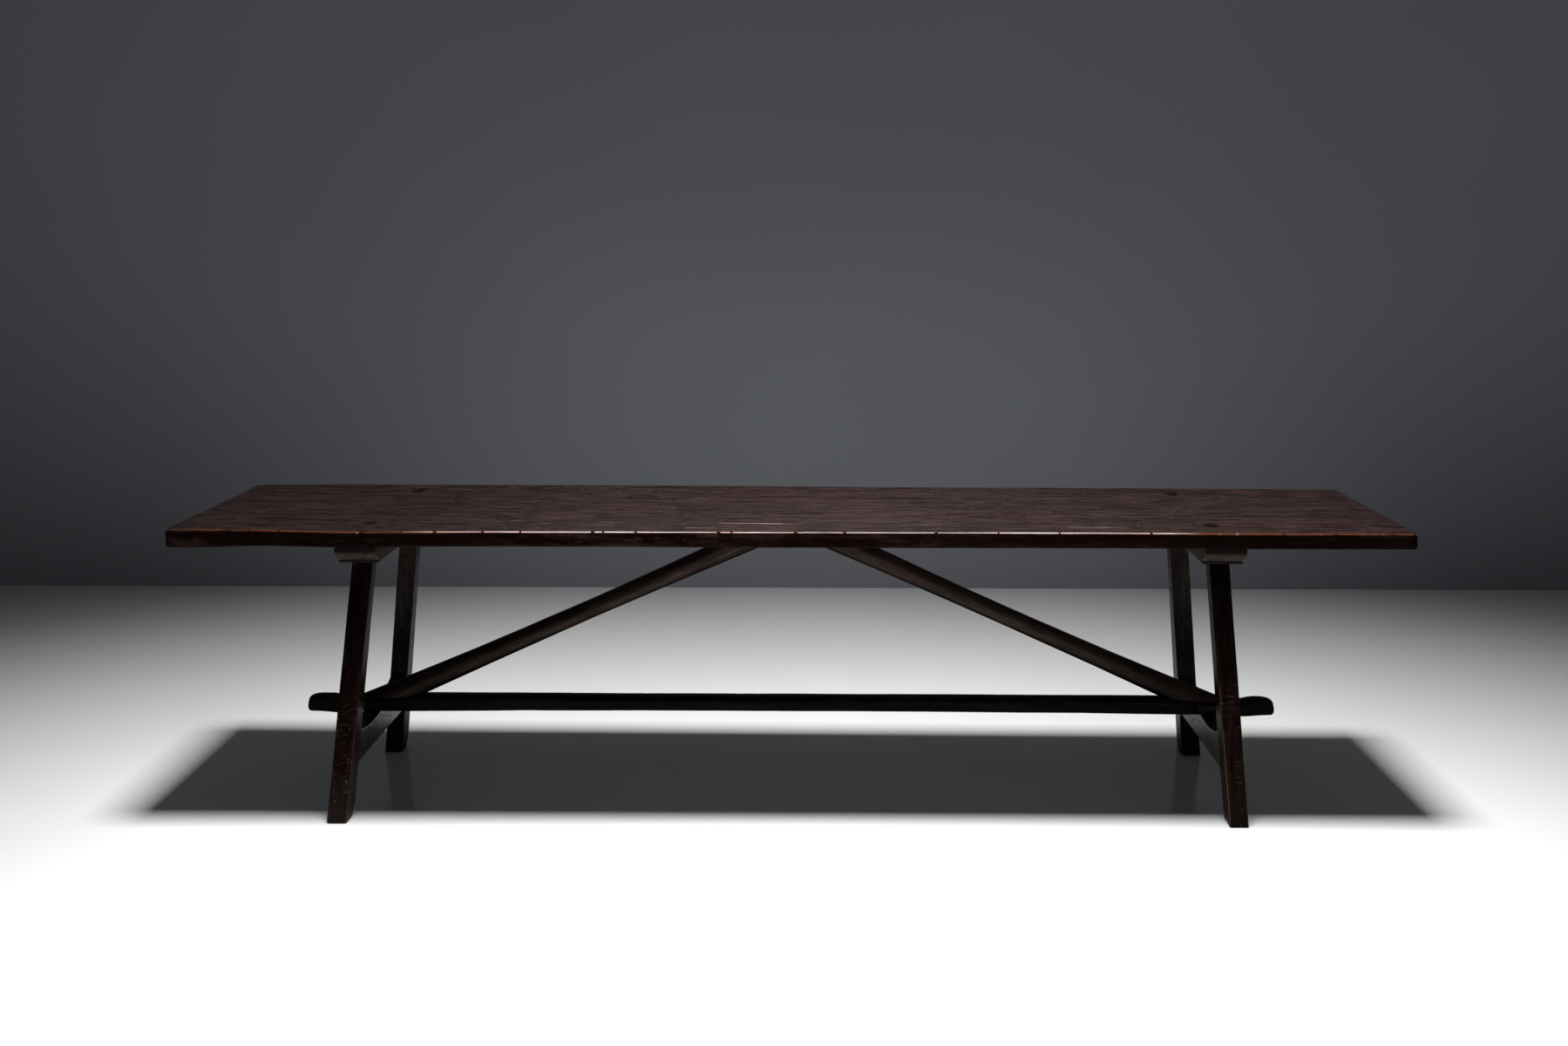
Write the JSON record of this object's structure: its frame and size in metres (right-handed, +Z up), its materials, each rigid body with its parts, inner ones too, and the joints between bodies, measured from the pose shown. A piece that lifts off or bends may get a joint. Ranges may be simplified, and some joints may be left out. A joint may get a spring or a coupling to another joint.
{
  "type": "trestle dining table",
  "caption": "Long dark walnut dining table: thick plank top on splayed trestle legs, with shaped cross stretchers, a low long stretcher and diagonal braces to the middle.",
  "frame": {"origin": "on the floor, under the middle of the top", "axes": "+X along the table's length, +Y from the front edge to the rear edge, +Z up"},
  "size_m": [3.1, 0.8178, 0.76],
  "materials": {
    "walnut_top": "worn wax polish",
    "walnut_frame": "dark worn wax",
    "walnut_legs": "dark worn wax, rubbed arrises",
    "peg_wood": "dark end grain"
  },
  "bodies": {
    "root": {"tabletop": "walnut_top", "batten_left": "walnut_frame", "batten_right": "walnut_frame", "leg_front_left": "walnut_legs", "leg_front_right": "walnut_legs", "leg_rear_left": "walnut_legs", "leg_rear_right": "walnut_legs", "cross_stretcher_left": "walnut_frame", "cross_stretcher_right": "walnut_frame", "long_stretcher": "walnut_frame", "brace_left": "walnut_frame", "brace_right": "walnut_frame", "top_pegs_left": "peg_wood", "top_pegs_right": "peg_wood", "leg_tenon_pegs_left": "peg_wood", "leg_tenon_pegs_right": "peg_wood", "rail_tenon_pegs_left": "peg_wood", "rail_tenon_pegs_right": "peg_wood", "lap_peg_left": "peg_wood", "lap_peg_right": "peg_wood", "brace_foot_peg_left": "peg_wood", "brace_foot_peg_right": "peg_wood", "brace_head_peg_left": "peg_wood", "brace_head_peg_right": "peg_wood"}
  },
  "joints": []
}
